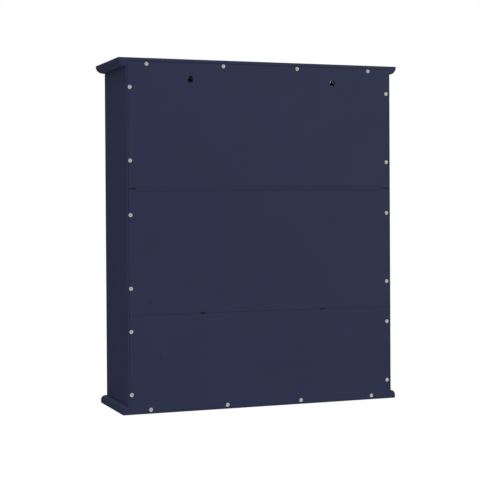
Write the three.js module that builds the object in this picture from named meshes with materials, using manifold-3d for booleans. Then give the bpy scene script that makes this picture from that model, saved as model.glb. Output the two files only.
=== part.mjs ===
// A shallow bathroom cabinet that hangs on a wall: a painted carcass with two framed doors above an open
// shelf space, closed behind by three thin panels that are screwed into a rebate, flush with the back.
//
// Millimetres. +X is to the right as seen from the front, +Y goes into the wall and +Z is up. The origin is
// on the plane of the back panels' outer faces, midway between the two keyhole slots, at the height of the
// wall screws that the cabinet hangs on. Inside the groups, heights are measured from the underside of the
// base board, and y = 0 is the floor of the rebate, which the panels lie on.

import * as THREE from "three";
import { mergeVertices } from "three/addons/utils/BufferGeometryUtils.js";
import Module from "manifold-3d";

// ---- Driving dimensions -------------------------------------------------------------------------------

// Carcass
const height = 622; // underside of the base board to the top of the top board
const width = 510; // over the side panels
const depth = 144; // side panels, from the front edge to the floor of the rebate
const board = 15; // thickness of the carcass boards
const gap = 0.3; // between pieces that touch

// Mouldings, which run along the front and both sides
const topOverhang = 13.4;
const topEdgeFlat = 1.5; // upright lip above the top board's quarter-round
const baseOverhang = 9;
const baseRound = 9; // height of the base board's quarter-round
const mouldingSteps = 6;

// Heights of the shelves and of the joints in the back
const fixedShelfHeight = 173; // centre of the fixed shelf, behind which the lower joint runs
const upperJointHeight = 394;
const looseShelfThickness = 12;
const looseShelfHeight = 400; // top of the loose shelf
const looseShelfFrontInset = 22;
const looseShelfBackInset = 2.5;
const looseShelfSideGap = 1.5;

// Shelf pins and their rows of holes
const pinRadius = 2.5;
const pinHoleClearance = 0.2;
const pinCollarRadius = 3.6;
const pinCollar = 1.2; // thickness of the collar
const pinInside = 8; // length in the board
const pinOutside = 8; // length under the shelf
const pinHolePitch = 32;
const pinHoleRows = [-1, 0, 1]; // rows below, at and above the loose shelf
const pinHoleInset = 30; // from the front and back edges of the side panel

// Back panels
const backThickness = 3;
const backSideLip = 3.4; // from the cabinet's side to the edge of the panels
const backTopLip = 6;
const backBottomLip = 3;
const stripWeb = 1.2;
const stripFlangeHeight = 8.6;
const stripFlange = 0.6; // thickness of each flange

// Screws of the back panels
const rowInset = 4.4; // from the top or bottom edge of the panels to a screw's centre
const columnInsets = { left: 4.6, right: 2.8 }; // from the side edge of the panels to a screw's centre
const screwHeadRadius = 3.5;
const screwHeadHeight = 1.9;
const screwShankRadius = 1.4;
const screwLength = 16; // under the head
const screwPoint = 4;
const screwHoleClearance = 0.3;
const recessSpan = 4; // across the cross recess
const recessArm = 0.9; // width of each arm of the cross
const recessDepth = 1.1;
const rowScrewCount = 4;
const rowEndInset = 37.6; // from the panel's side edge to the row's last screw
const topRowShift = 4.4; // the top row is drilled a little to the right
const screwInsetsOf = {
  bottom: { below: 32, above: 28 },
  middle: { below: 47, above: 45 },
  top: { below: 48, above: 45.5 },
};

// Two shallow dents in the panels, each as its side of the middle, its inset from that side edge of the
// panels and its height from the lower joint
const dentRadius = 2.4;
const dentDepth = 1;
const dents = [
  { side: 1, inset: 37.2, fromJoint: 22 },
  { side: 1, inset: 55.6, fromJoint: -76.3 },
];

// Staples through the lower joint into the fixed shelf
const stapleSpacing = 232;
const stapleCrown = 8;
const stapleWire = 1.6;

// Hanging rail and its keyhole plates
const railHeight = 60;
const slotSpacing = 275;
const hangDrop = 17; // from the underside of the top board down to the wall screws' shanks
const slotRadius = 1.6;
const slotDrop = 4.4; // from the shank's place down to the centre of the entry hole
const entryRadius = 3.3;
const plateWidth = 18;
const plateHeight = 34;
const plateThickness = 1.5;
const plateCorner = 3;
const panelHoleMargin = 1.5; // round the keyhole
const pocketWidth = 13; // of the space behind each keyhole, for the wall screw's head
const pocketHeight = 22;

// Doors
const doorThickness = 16;
const doorReveal = 2; // above and below each door
const meetingGap = 3; // between the two doors
const stileWidth = 48;
const railWidth = 48;
const doorPanel = 6; // thickness of the door's panel
const grooveDepth = 8;

// Hinges
const leafHeight = 50;
const leafDepth = 14;
const leafThickness = 1.2;
const knuckleRadius = 2.8;
const hingePinRadius = 1.5;
const hingePinClearance = 0.08;
const hingeInset = 62; // from the door's top or bottom edge to the hinge's centre
const finialRadius = 2.4;
const finialLength = 3;

// Knobs
const knobRadius = 14;
const knobNeckRadius = 5;
const knobBaseRadius = 8;
const knobReach = 26; // from the door's face to the front of the knob
const knobHeight = 72; // above the door's lower edge
const knobHeadDepth = 11;
const knobBase = 1.5; // upright edge of the base
const knobFlare = 3.5; // from the door's face to the end of the base's flare
const knobWaist = 7; // from the door's face to the narrowest part of the neck

// Magnetic catch and its strikes
const catchWidth = 46;
const catchDepth = 15;
const catchHeight = 13;
const catchGroove = 3; // width of the groove between its two magnets
const catchGrooveDepth = 2;
const strikeWidth = 15;
const strikeHeight = 22;
const strikeThickness = 1.2;
const strikeCorner = 2;

// ---- Places worked out from them ----------------------------------------------------------------------

const sides = [
  ["left", -1],
  ["right", 1],
];

const halfWidth = width / 2;
const innerHalf = halfWidth - board; // inner face of a side panel
const innerTop = height - board; // underside of the top board
const panelHalf = halfWidth - backSideLip;
const wallFace = gap + backThickness; // outer face of the back panels and of the lips round them
const fixedShelfTop = fixedShelfHeight + board / 2;
const railBottom = innerTop - gap - railHeight;
const hangHeight = innerTop - hangDrop;

const hingeSideGap = 2 * leafThickness + 3 * gap; // between the door's edge and the side panel
const hingeX = innerHalf - hingeSideGap / 2;
const hingeY = -depth - knuckleRadius - gap;
const doorBottom = fixedShelfTop + doorReveal;
const doorTop = innerTop - doorReveal;
const doorHeight = doorTop - doorBottom;
const doorOuterX = innerHalf - hingeSideGap;
const doorWidth = doorOuterX - meetingGap / 2;
const doorBackY = -depth + doorThickness;

const jointSpace = stripWeb + 2 * gap; // between the panels at the upper joint
const backPanels = [
  { name: "bottom", from: backBottomLip, to: fixedShelfHeight - gap / 2 },
  { name: "middle", from: fixedShelfHeight + gap / 2, to: upperJointHeight - jointSpace / 2 },
  { name: "top", from: upperJointHeight + jointSpace / 2, to: height - backTopLip },
];

// ---- Finishes -----------------------------------------------------------------------------------------

const navyPaint = { color: 0x30364b, roughness: 0.5, metalness: 0 };
const brightNickel = { color: 0xd8d3ca, roughness: 0.22, metalness: 1 };
const zinc = { color: 0xa9adb2, roughness: 0.4, metalness: 1 };
const darkSteel = { color: 0x23242a, roughness: 0.5, metalness: 0.8 };
const navyPlastic = { color: 0x2a3046, roughness: 0.4, metalness: 0 };
const whitePlastic = { color: 0xe6e6e2, roughness: 0.45, metalness: 0 };

// ---- Solids -------------------------------------------------------------------------------------------

const wasm = await Module();
wasm.setup();

function solidOf(geometry) {
  const bare = geometry.clone();
  bare.deleteAttribute("normal");
  bare.deleteAttribute("uv");
  const merged = mergeVertices(bare, 1e-4);
  return new wasm.Manifold(
    new wasm.Mesh({
      numProp: 3,
      vertProperties: merged.attributes.position.array,
      triVerts: new Uint32Array(merged.index.array),
    }),
  );
}

function geometryOf(solid) {
  const mesh = solid.getMesh();
  const geometry = new THREE.BufferGeometry();
  geometry.setAttribute("position", new THREE.BufferAttribute(mesh.vertProperties, 3));
  geometry.setIndex(new THREE.BufferAttribute(mesh.triVerts, 1));
  geometry.computeVertexNormals();
  return geometry;
}

const cut = (body, tools) =>
  geometryOf(tools.reduce((solid, tool) => solid.subtract(solidOf(tool)), solidOf(body)));
const join = (pieces) => geometryOf(pieces.map(solidOf).reduce((solid, next) => solid.add(next)));
const meet = (one, other) => geometryOf(solidOf(one).intersect(solidOf(other)));

// A box between two corners, each given as [x, y, z].
function block(low, high) {
  const size = high.map((end, i) => end - low[i]);
  const middle = high.map((end, i) => (end + low[i]) / 2);
  return new THREE.BoxGeometry(...size).translate(...middle);
}

// A cylinder along one axis, centred on its middle.
function rod(radius, length, axis, segments = 12) {
  const geometry = new THREE.CylinderGeometry(radius, radius, length, segments);
  if (axis === "x") geometry.rotateZ(Math.PI / 2);
  if (axis === "z") geometry.rotateX(Math.PI / 2);
  return geometry;
}

// A turned piece whose axis runs along +Y, from an outline of [radius, distance] pairs.
const turned = (outline, segments) =>
  new THREE.LatheGeometry(
    outline.map(([radius, along]) => new THREE.Vector2(radius, along)),
    segments,
  );

// An outline in the XZ plane, run along Y and centred on y = 0.
function plateXZ(shape, thickness, curveSegments = 6) {
  return new THREE.ExtrudeGeometry(shape, { depth: thickness, bevelEnabled: false, curveSegments })
    .translate(0, 0, -thickness / 2)
    .rotateX(Math.PI / 2);
}

// A rectangle with round corners, centred on the origin.
function roundedRectangle(across, tall, corner) {
  const x = across / 2;
  const y = tall / 2;
  const shape = new THREE.Shape();
  shape.moveTo(-x + corner, -y);
  shape.lineTo(x - corner, -y);
  shape.absarc(x - corner, -y + corner, corner, -Math.PI / 2, 0);
  shape.absarc(x - corner, y - corner, corner, 0, Math.PI / 2);
  shape.absarc(-x + corner, y - corner, corner, Math.PI / 2, Math.PI);
  shape.absarc(-x + corner, -y + corner, corner, Math.PI, 1.5 * Math.PI);
  return shape;
}

// An upright oval with half-round ends.
const ovalOf = (across, tall) => roundedRectangle(across, tall, across / 2);

function piece(group, name, geometry, finish, x = 0, y = 0, z = 0) {
  const mesh = new THREE.Mesh(geometry, new THREE.MeshStandardMaterial(finish));
  mesh.name = name;
  mesh.position.set(x, y, z);
  group.add(mesh);
  return mesh;
}

// ---- Places of the back's screws, staples and slots ---------------------------------------------------

// Each screw as its name and the x and z of its centre.
function backScrews() {
  const screws = [];
  const [bottomPanel, , topPanel] = backPanels;
  const rowHalf = panelHalf - rowEndInset;
  for (let i = 0; i < rowScrewCount; i++) {
    const x = -rowHalf + (2 * rowHalf * i) / (rowScrewCount - 1);
    screws.push({ name: `back_screw_top_${i + 1}`, x: x + topRowShift, z: topPanel.to - rowInset });
    screws.push({ name: `back_screw_bottom_${i + 1}`, x, z: bottomPanel.from + rowInset });
  }
  for (const [label, side] of sides) {
    const heights = backPanels.flatMap((panel) => [
      panel.from + screwInsetsOf[panel.name].below,
      panel.to - screwInsetsOf[panel.name].above,
    ]);
    heights.forEach((z, i) => {
      screws.push({ name: `back_screw_${label}_${i + 1}`, x: side * (panelHalf - columnInsets[label]), z });
    });
  }
  return screws;
}

// Tools that drill every back screw's hole. A board keeps those that reach it.
const screwDrills = () =>
  backScrews().map(({ x, z }) =>
    rod(screwShankRadius + screwHoleClearance, 2 * (screwLength + gap), "y", 8).translate(x, wallFace, z),
  );

// Two places the same distance to the left and right of the middle.
const pairAt = (spacing) => sides.map(([label, side]) => ({ label, x: (side * spacing) / 2 }));
const slotSides = pairAt(slotSpacing);
const stapleSides = pairAt(stapleSpacing);

// ---- Carcass ------------------------------------------------------------------------------------------

// The rebate that the back panels lie in, cut from all four outer boards.
const rebate = () =>
  block(
    [-panelHalf - gap, 0, backBottomLip - gap],
    [panelHalf + gap, wallFace + 1, height - backTopLip + gap],
  );

// A quarter turn in equal steps, each placed by a function of its angle.
const quarter = (place) =>
  Array.from({ length: mouldingSteps + 1 }, (_, i) => place((i / mouldingSteps) * (Math.PI / 2)));

// A board whose front and side edges carry one profile, given as [outward, upward] pairs from its underside.
// The section across the board and the section from front to back meet in mitred corners.
function mouldedBoard(profile, thickness) {
  const reach = Math.max(...profile.map(([outward]) => outward));
  const right = profile.map(([out, up]) => new THREE.Vector2(halfWidth + out, up));
  const left = profile.map(([out, up]) => new THREE.Vector2(-halfWidth - out, up)).reverse();
  const across = plateXZ(new THREE.Shape([...right, ...left]), 2 * (depth + reach));
  const front = profile.map(([out, up]) => new THREE.Vector2(-depth - out, up)).reverse();
  const back = [new THREE.Vector2(wallFace, 0), new THREE.Vector2(wallFace, thickness)];
  const along = plateXZ(new THREE.Shape([...back, ...front]), 2 * (halfWidth + reach)).rotateZ(Math.PI / 2);
  return meet(across, along);
}

function topBoard() {
  const drop = board - topEdgeFlat;
  const round = quarter((angle) => [topOverhang * Math.sin(angle), drop * (1 - Math.cos(angle))]);
  return mouldedBoard([...round, [topOverhang, board]], board).translate(0, 0, innerTop);
}

function baseBoard() {
  const upright = board - baseRound;
  const round = quarter((angle) => [baseOverhang * Math.cos(angle), upright + baseRound * Math.sin(angle)]);
  return mouldedBoard([[baseOverhang, 0], ...round], board);
}

// Centres of the four shelf pins, and of every hole in their rows.
const looseShelfBottom = looseShelfHeight - looseShelfThickness;
const pinLine = looseShelfBottom - gap - pinRadius;
const pinDepths = [-pinHoleInset, -depth + pinHoleInset];

function sidePanel(side) {
  const inner = side * innerHalf;
  const outer = side * halfWidth;
  const panel = block(
    [Math.min(inner, outer), -depth, board + gap],
    [Math.max(inner, outer), wallFace, innerTop - gap],
  );
  const hole = rod(pinRadius + pinHoleClearance, 2 * (pinInside + gap), "x").translate(inner, 0, pinLine);
  const holes = pinDepths.flatMap((y) =>
    pinHoleRows.map((row) => hole.clone().translate(0, y, row * pinHolePitch)),
  );
  return cut(panel, [rebate(), ...holes, ...screwDrills()]);
}

function fixedShelf() {
  const shelf = block(
    [-innerHalf + gap, -depth, fixedShelfHeight - board / 2],
    [innerHalf - gap, 0, fixedShelfTop],
  );
  const legs = stapleSides.map(({ x }) => stapleTool(gap).translate(x, wallFace, fixedShelfHeight));
  return cut(shelf, legs);
}

function addCarcass(carcass) {
  const cuts = [rebate(), ...screwDrills()];
  piece(carcass, "top_board", cut(topBoard(), cuts), navyPaint);
  piece(carcass, "base_board", cut(baseBoard(), cuts), navyPaint);
  piece(carcass, "side_panel_left", sidePanel(-1), navyPaint);
  piece(carcass, "side_panel_right", sidePanel(1), navyPaint);
  piece(carcass, "fixed_shelf", fixedShelf(), navyPaint);
}

// ---- Loose shelf --------------------------------------------------------------------------------------

function shelfPin() {
  const inside = pinInside - gap;
  const outside = pinCollar + pinOutside;
  const outline = [
    [0, -inside],
    [pinRadius, -inside],
    [pinRadius, gap],
    [pinCollarRadius, gap],
    [pinCollarRadius, gap + pinCollar],
    [pinRadius, gap + pinCollar],
    [pinRadius, outside],
    [0, outside],
  ];
  return turned(outline, 12);
}

function addLooseShelf(carcass) {
  const half = innerHalf - looseShelfSideGap - pinCollar;
  const shelf = block(
    [-half, -depth + looseShelfFrontInset, looseShelfBottom],
    [half, -looseShelfBackInset, looseShelfHeight],
  );
  piece(carcass, "loose_shelf", shelf, navyPaint);
  for (const [label, side] of sides) {
    for (const [place, y] of [["back", pinDepths[0]], ["front", pinDepths[1]]]) {
      const name = `shelf_pin_${label}_${place}`;
      const pin = piece(carcass, name, shelfPin(), brightNickel, side * innerHalf, y, pinLine);
      pin.rotation.z = (side * Math.PI) / 2;
    }
  }
}

// ---- Back ---------------------------------------------------------------------------------------------

// The keyhole: a round entry hole below a narrow slot, centred on the place where the shank hangs.
function keyholeTool(through) {
  const entry = rod(entryRadius, through, "y", 20).translate(0, 0, -slotDrop);
  const slot = block([-slotRadius, -through / 2, -slotDrop], [slotRadius, through / 2, 0]);
  const end = rod(slotRadius, through, "y", 20);
  return join([entry, slot, end]);
}

// The oval hole in the panel, which leaves a margin round the keyhole.
function panelHole() {
  const across = 2 * (entryRadius + panelHoleMargin);
  const tall = slotRadius + slotDrop + entryRadius + 2 * panelHoleMargin;
  const middle = (slotRadius - slotDrop - entryRadius) / 2;
  return plateXZ(ovalOf(across, tall), 4 * wallFace).translate(0, 0, hangHeight + middle);
}

function backPanel({ from, to }) {
  const sheet = block([-panelHalf, gap, from], [panelHalf, wallFace, to]);
  const holes = slotSides.map(({ x }) => panelHole().translate(x, 0, 0));
  const staples = stapleSides.map(({ x }) => stapleTool(gap).translate(x, wallFace, fixedShelfHeight));
  const pits = dents.map(({ side, inset, fromJoint }) => {
    const pit = rod(dentRadius, 2 * dentDepth, "y");
    return pit.translate(side * (panelHalf - inset), wallFace, fixedShelfHeight + fromJoint);
  });
  return cut(sheet, [...screwDrills(), ...holes, ...staples, ...pits]);
}

// The plastic strip that joins two panels: a web between them and a flange over each face.
function jointStrip() {
  const half = innerHalf - gap;
  const bar = (y0, y1, tall) => block([-half, y0, -tall / 2], [half, y1, tall / 2]);
  return join([
    bar(-stripFlange, 0, stripFlangeHeight),
    bar(-stripFlange / 2, wallFace + gap + stripFlange / 2, stripWeb),
    bar(wallFace + gap, wallFace + gap + stripFlange, stripFlangeHeight),
  ]).translate(0, 0, upperJointHeight);
}

// A staple driven along -Y from y = 0, grown on every side by a margin when it cuts its own holes.
function stapleTool(margin) {
  const half = stapleCrown / 2 + margin;
  const wire = stapleWire / 2 + margin;
  const legLength = wallFace + board / 2 + margin;
  const crown = block([-half, -margin, -wire], [half, gap + stapleWire, wire]);
  const leg = (x) => block([x - wire, -legLength, -wire], [x + wire, gap, wire]);
  const legX = stapleCrown / 2 - stapleWire / 2;
  return join([crown, leg(-legX), leg(legX)]);
}

// The pan head stands on the panel at y = 0 and the shank runs along -Y.
function panHeadScrew() {
  const shoulder = 0.35 * screwHeadHeight; // upright edge below the dome
  const domeAngles = [0, 0.4, 0.85];
  const dome = (angle) => [
    screwHeadRadius * Math.cos(angle),
    gap + shoulder + (screwHeadHeight - shoulder) * Math.sin(angle),
  ];
  const outline = [
    [0, -screwLength],
    [screwShankRadius, -screwLength + screwPoint],
    [screwShankRadius, gap],
    [screwHeadRadius, gap],
    ...domeAngles.map(dome),
    [0, gap + screwHeadHeight],
  ];
  const top = gap + screwHeadHeight;
  const arm = (x, z) => block([-x / 2, top - recessDepth, -z / 2], [x / 2, top + 1, z / 2]);
  return cut(turned(outline, 12), [arm(recessSpan, recessArm), arm(recessArm, recessSpan)]);
}

function keyholePlate() {
  const middle = -slotDrop / 2;
  const blank = plateXZ(roundedRectangle(plateWidth, plateHeight, plateCorner), plateThickness);
  return cut(blank.translate(0, 0, middle), [keyholeTool(4 * plateThickness)]);
}

function hangingRail() {
  const rail = block([-innerHalf + gap, -board, railBottom], [innerHalf - gap, 0, innerTop - gap]);
  const middle = hangHeight - slotDrop / 2;
  const tools = slotSides.flatMap(({ x }) => {
    const seatShape = roundedRectangle(plateWidth + 2 * gap, plateHeight + 2 * gap, plateCorner + gap);
    const seat = plateXZ(seatShape, 2 * (plateThickness + gap));
    const pocket = plateXZ(ovalOf(pocketWidth, pocketHeight), 4 * board);
    return [seat.translate(x, 0, middle), pocket.translate(x, 0, middle)];
  });
  return cut(rail, tools);
}

function addBack(carcass) {
  for (const panel of backPanels) {
    piece(carcass, `back_panel_${panel.name}`, backPanel(panel), navyPaint);
  }
  piece(carcass, "back_joint_strip", jointStrip(), navyPlastic);
  piece(carcass, "hanging_rail", hangingRail(), navyPaint);
  for (const { label, x } of slotSides) {
    piece(carcass, `keyhole_plate_${label}`, keyholePlate(), zinc, x, -plateThickness / 2, hangHeight);
  }
  for (const { label, x } of stapleSides) {
    piece(carcass, `shelf_staple_${label}`, stapleTool(0), darkSteel, x, wallFace, fixedShelfHeight);
  }
  for (const { name, x, z } of backScrews()) {
    piece(carcass, name, panHeadScrew(), brightNickel, x, wallFace, z);
  }
}

// ---- Hinges -------------------------------------------------------------------------------------------

// One leaf with its knuckles, about the hinge's own axis. towards is -1 or 1, the side of the axis that the
// leaf lies on, and knuckles are the thirds of the barrel that belong to it.
function hingeLeaf(towards, knuckles) {
  const third = (leafHeight - 2 * gap) / 3;
  const near = (towards * gap) / 2;
  const far = near + towards * leafThickness;
  const [x0, x1] = [Math.min(near, far), Math.max(near, far)];
  const plateFront = knuckleRadius + gap;
  const parts = [block([x0, plateFront, -leafHeight / 2], [x1, plateFront + leafDepth, leafHeight / 2])];
  for (const knuckle of knuckles) {
    const bottom = -leafHeight / 2 + knuckle * (third + gap);
    parts.push(rod(knuckleRadius, third, "z", 20).translate(0, 0, bottom + third / 2));
    parts.push(block([x0, 0, bottom], [x1, plateFront + 1, bottom + third]));
  }
  const bore = rod(hingePinRadius + hingePinClearance, 2 * leafHeight, "z", 20);
  return cut(join(parts), [bore]);
}

function hingePin() {
  const end = leafHeight / 2 + gap;
  const tip = (sign) => [
    [finialRadius, sign * end],
    [finialRadius, sign * (end + finialLength / 3)],
    [finialRadius * 0.7, sign * (end + finialLength * 0.8)],
    [0, sign * (end + finialLength)],
  ];
  const outline = [...tip(-1).reverse(), [hingePinRadius, -end], [hingePinRadius, end], ...tip(1)];
  return turned(outline, 20).rotateX(Math.PI / 2);
}

const hingePlaces = [["lower", hingeInset], ["upper", doorHeight - hingeInset]].map(([label, up]) => ({
  label,
  z: doorBottom + up,
}));

function addHingeFixings(carcass, side, label) {
  for (const { label: place, z } of hingePlaces) {
    const name = `hinge_${label}_${place}`;
    piece(carcass, `${name}_case_leaf`, hingeLeaf(side, [0, 2]), brightNickel, side * hingeX, hingeY, z);
    piece(carcass, `${name}_pin`, hingePin(), brightNickel, side * hingeX, hingeY, z);
  }
}

// ---- Doors --------------------------------------------------------------------------------------------

// Inside a door's group the origin is on its hinge's axis, and inward is the direction of the other door.

function doorFrame(inward) {
  const outer = hingeX - doorOuterX;
  const x = (from) => inward * (outer + from);
  const front = -depth - hingeY;
  const slab = (inset, y0, y1, bottom, top) => {
    const ends = [x(inset), x(doorWidth - inset)].sort((a, b) => a - b);
    return block([ends[0], y0, bottom], [ends[1], y1, top]);
  };
  const back = front + doorThickness;
  const middle = (front + back) / 2;
  const grooveHalf = doorPanel / 2 + gap;
  const groove = grooveDepth + gap;
  return cut(slab(0, front, back, doorBottom, doorTop), [
    slab(stileWidth, front - 1, back + 1, doorBottom + railWidth, doorTop - railWidth),
    slab(
      stileWidth - groove,
      middle - grooveHalf,
      middle + grooveHalf,
      doorBottom + railWidth - groove,
      doorTop - railWidth + groove,
    ),
  ]);
}

function doorPanelSheet(inward) {
  const edge = stileWidth - grooveDepth;
  const outer = hingeX - doorOuterX;
  const ends = [inward * (outer + edge), inward * (outer + doorWidth - edge)].sort((a, b) => a - b);
  const middle = -depth - hingeY + doorThickness / 2;
  return block(
    [ends[0], middle - doorPanel / 2, doorBottom + railWidth - grooveDepth],
    [ends[1], middle + doorPanel / 2, doorTop - railWidth + grooveDepth],
  );
}

// The knob stands on y = 0 and reaches out along -Y. Its head is widest a third of the way up.
function knob() {
  const headStart = knobReach - knobHeadDepth;
  const below = knobHeadDepth * 0.35;
  const above = knobHeadDepth - below;
  const undercut = -0.9;
  const steps = 5;
  const face = Array.from({ length: steps }, (_, i) => {
    const angle = undercut + (i / steps) * (Math.PI / 2 - undercut);
    const rise = angle < 0 ? below : above;
    return [knobRadius * Math.cos(angle), headStart + below + rise * Math.sin(angle)];
  });
  const outline = [
    [0, 0],
    [knobBaseRadius, 0],
    [knobBaseRadius, knobBase],
    [knobNeckRadius + 1, knobFlare],
    [knobNeckRadius, knobWaist],
    [knobNeckRadius + 0.5, headStart - 1],
    ...face,
    [0, knobReach],
  ];
  return turned(outline, 24).rotateX(Math.PI);
}

function addDoor(door, side, label) {
  const inward = -side;
  const outer = hingeX - doorOuterX;
  const knobX = inward * (outer + doorWidth - stileWidth / 2);
  const strikeX = inward * (outer + doorWidth - catchWidth / 4 + meetingGap / 2);
  const front = -depth - hingeY;
  piece(door, `door_frame_${label}`, doorFrame(inward), navyPaint);
  piece(door, `door_panel_${label}`, doorPanelSheet(inward), navyPaint);
  piece(door, `knob_${label}`, knob(), brightNickel, knobX, front - gap, doorBottom + knobHeight);
  const strike = plateXZ(roundedRectangle(strikeWidth, strikeHeight, strikeCorner), strikeThickness, 3);
  const strikeY = front + doorThickness + gap + strikeThickness / 2;
  const strikeZ = doorTop - strikeHeight / 2 - gap;
  piece(door, `strike_plate_${label}`, strike, zinc, strikeX, strikeY, strikeZ);
  for (const { label: place, z } of hingePlaces) {
    piece(door, `hinge_${label}_${place}_door_leaf`, hingeLeaf(inward, [1]), brightNickel, 0, 0, z);
  }
}

// The catch is screwed under the top board, just behind the strikes.
function addCatch(carcass) {
  const front = doorBackY + 2 * gap + strikeThickness;
  const housing = block([-catchWidth / 2, 0, -catchHeight], [catchWidth / 2, catchDepth, 0]);
  const groove = block(
    [-catchGroove / 2, -1, -catchHeight - 1],
    [catchGroove / 2, catchGrooveDepth, 1],
  );
  piece(carcass, "magnetic_catch", cut(housing, [groove]), whitePlastic, 0, front, innerTop - gap);
}

// ---- The cabinet --------------------------------------------------------------------------------------

const cabinet = new THREE.Group();
cabinet.name = "bathroom_wall_cabinet";
cabinet.position.set(0, -wallFace, -hangHeight);

const carcass = new THREE.Group();
addCarcass(carcass);
addLooseShelf(carcass);
addBack(carcass);
addCatch(carcass);
cabinet.add(carcass);

for (const [label, side] of sides) {
  addHingeFixings(carcass, side, label);
  const door = new THREE.Group();
  door.position.set(side * hingeX, hingeY, 0);
  addDoor(door, side, label);
  cabinet.add(door);
}

const model = new THREE.Group();
model.add(cabinet);

export default model;
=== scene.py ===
"""Builds the visible pieces of a wall-hung bathroom cabinet around its frame.

Lengths are metres in the frame's own axes: +X to the right as seen from the front, +Y into the wall and +Z
up. The origin is on the back's outer face, midway between the two keyhole slots, where the wall screws hold.
"""

import math
import random

import bmesh
import bpy
from bpy.props import FloatProperty, FloatVectorProperty, IntProperty, PointerProperty
from bpy.types import Operator, Panel, PropertyGroup
from mathutils import Matrix, Quaternion, Vector


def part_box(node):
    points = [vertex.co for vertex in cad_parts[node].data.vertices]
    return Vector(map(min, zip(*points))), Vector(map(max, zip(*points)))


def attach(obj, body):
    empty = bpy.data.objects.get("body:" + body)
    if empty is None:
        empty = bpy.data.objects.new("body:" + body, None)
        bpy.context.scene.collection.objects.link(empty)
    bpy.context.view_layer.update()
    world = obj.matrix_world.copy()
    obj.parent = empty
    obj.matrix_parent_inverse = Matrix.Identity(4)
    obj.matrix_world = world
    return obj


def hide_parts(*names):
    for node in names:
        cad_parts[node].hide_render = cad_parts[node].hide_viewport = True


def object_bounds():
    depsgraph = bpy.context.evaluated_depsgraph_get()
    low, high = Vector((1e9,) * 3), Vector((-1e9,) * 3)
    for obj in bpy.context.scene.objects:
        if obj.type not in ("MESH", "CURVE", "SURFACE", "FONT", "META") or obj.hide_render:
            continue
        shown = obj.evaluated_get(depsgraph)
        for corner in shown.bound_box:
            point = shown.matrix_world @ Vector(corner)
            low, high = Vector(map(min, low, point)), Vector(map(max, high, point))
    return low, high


bl_info = {
    "name": "Bathroom wall cabinet",
    "version": (1, 0, 0),
    "blender": (4, 5, 0),
    "location": "View3D > Sidebar > Cabinet",
    "description": "Builds a painted wall cabinet with two framed doors and a screwed-on back",
    "category": "Object",
}

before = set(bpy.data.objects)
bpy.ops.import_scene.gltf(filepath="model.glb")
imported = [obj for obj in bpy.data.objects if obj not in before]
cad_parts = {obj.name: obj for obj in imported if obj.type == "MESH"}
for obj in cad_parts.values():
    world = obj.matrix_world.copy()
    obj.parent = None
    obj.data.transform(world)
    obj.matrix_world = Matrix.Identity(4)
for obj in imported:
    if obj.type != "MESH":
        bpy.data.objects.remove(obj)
FRAME_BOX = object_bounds()
SIDES = (("left", -1), ("right", 1))

# The two shallow dents in the back: each one's inset from the sheets' +X edge and its height from the lower
# joint.
DENTS = ((0.0372, 0.022), (0.0556, -0.0763))

# The share of the board arris that other painted edges have.
MOULDING_SHARE = 0.7
SIDE_SHARE = 0.8
DOOR_SHARE = 0.35

FINE_ARRIS = 0.00015  # the joint strip's and shelf pins' edges

# The body, slot and material of the carcass's boards.
PAINTED_BOARD = ("carcass", "painted_board", "navy_board_paint")


# ---- Sizes and finishes a user may change ----


def metres(name, description, default, **limits):
    """A length in metres that a user may change."""
    return FloatProperty(name=name, description=description, subtype="DISTANCE", default=default, **limits)


def degrees(name, description, default):
    """An angle in degrees that a user may change."""
    value = math.radians(default)
    return FloatProperty(name=name, description=description, subtype="ANGLE", default=value)


def rgb(name, description, default):
    """A colour that a user may change."""
    kind = {"subtype": "COLOR", "size": 3, "min": 0, "max": 1}
    return FloatVectorProperty(name=name, description=description, default=default, **kind)


class CabinetFinishes(PropertyGroup):
    """Colours and surfaces of the cabinet's materials."""

    navy: rgb("Navy paint", "Colour of the paint on the boards, doors and back", (0.0228, 0.0312, 0.079))
    paint_gloss_spread: FloatProperty(
        name="Paint roughness",
        description="Roughness of the satin paint on the boards",
        min=0.05,
        max=1,
        default=0.46,
    )
    stipple: metres("Paint stipple", "Height of the sprayed paint's orange peel", 0.00003, min=0)
    nickel: rgb("Nickel plate", "Colour of the plated screws, hinges and knobs", (0.95, 0.93, 0.9))
    # The zinc is set dark and blue-grey, well below bright zinc: painted shade for the keyhole plates that
    # sit recessed behind the back's holes. The strike plates share it.
    zinc: rgb("Zinc plate", "Colour of the keyhole and strike plates", (0.3, 0.31, 0.37))


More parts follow.
